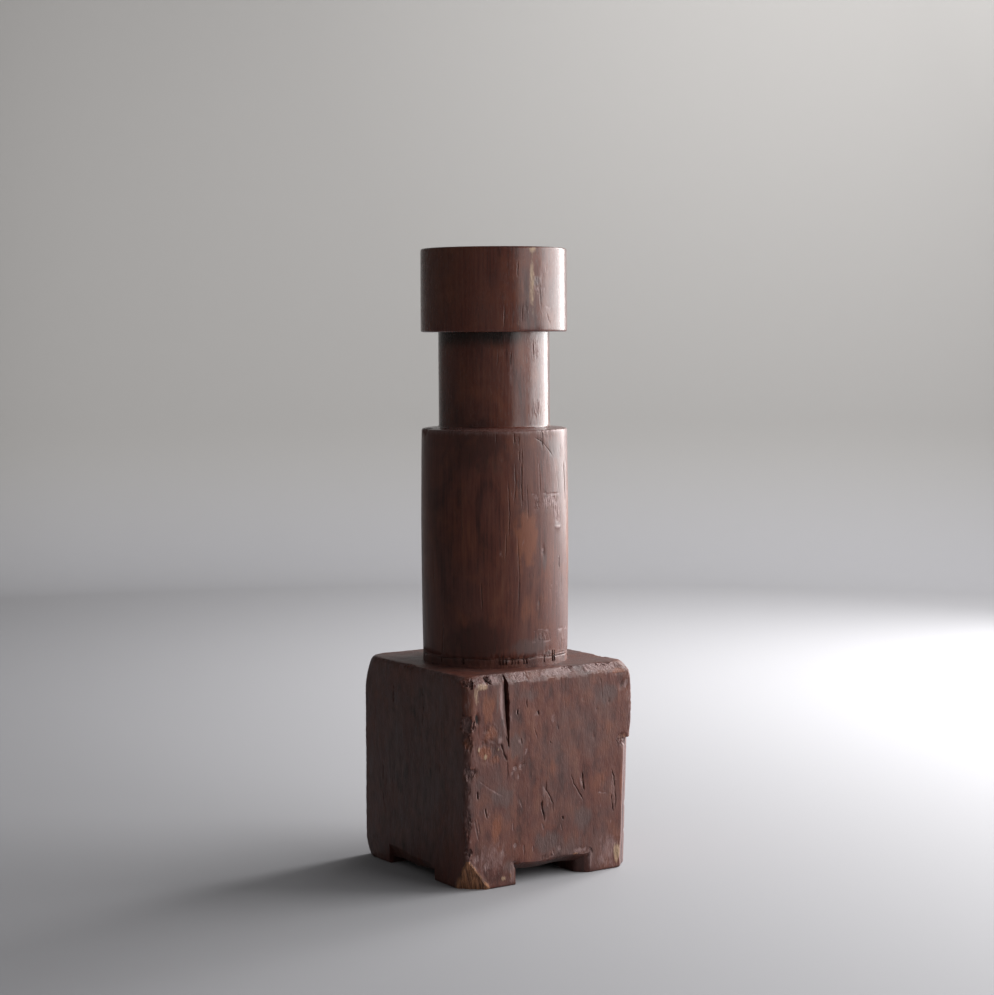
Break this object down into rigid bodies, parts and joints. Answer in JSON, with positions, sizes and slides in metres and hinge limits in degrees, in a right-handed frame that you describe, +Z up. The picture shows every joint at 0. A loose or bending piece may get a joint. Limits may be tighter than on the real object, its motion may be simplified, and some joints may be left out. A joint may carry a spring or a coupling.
{
  "type": "wooden plinth",
  "caption": "Floor plinth of solid wood: a rough square block on notched feet, turned above into a drum, a narrower neck and a flat-topped cap.",
  "frame": {"origin": "on the floor under the turned column's axis, at the middle of the block's footprint", "axes": "+Z up along the column, -Y out of the block's face with the open shake, -X out of the face to its left"},
  "size_m": [0.236, 0.233, 0.74],
  "materials": {
    "oiled_wood": "dark oiled hardwood, semi-gloss on the turned part and dull on the rough block"
  },
  "bodies": {
    "root": {"plinth": "oiled_wood"}
  },
  "joints": []
}
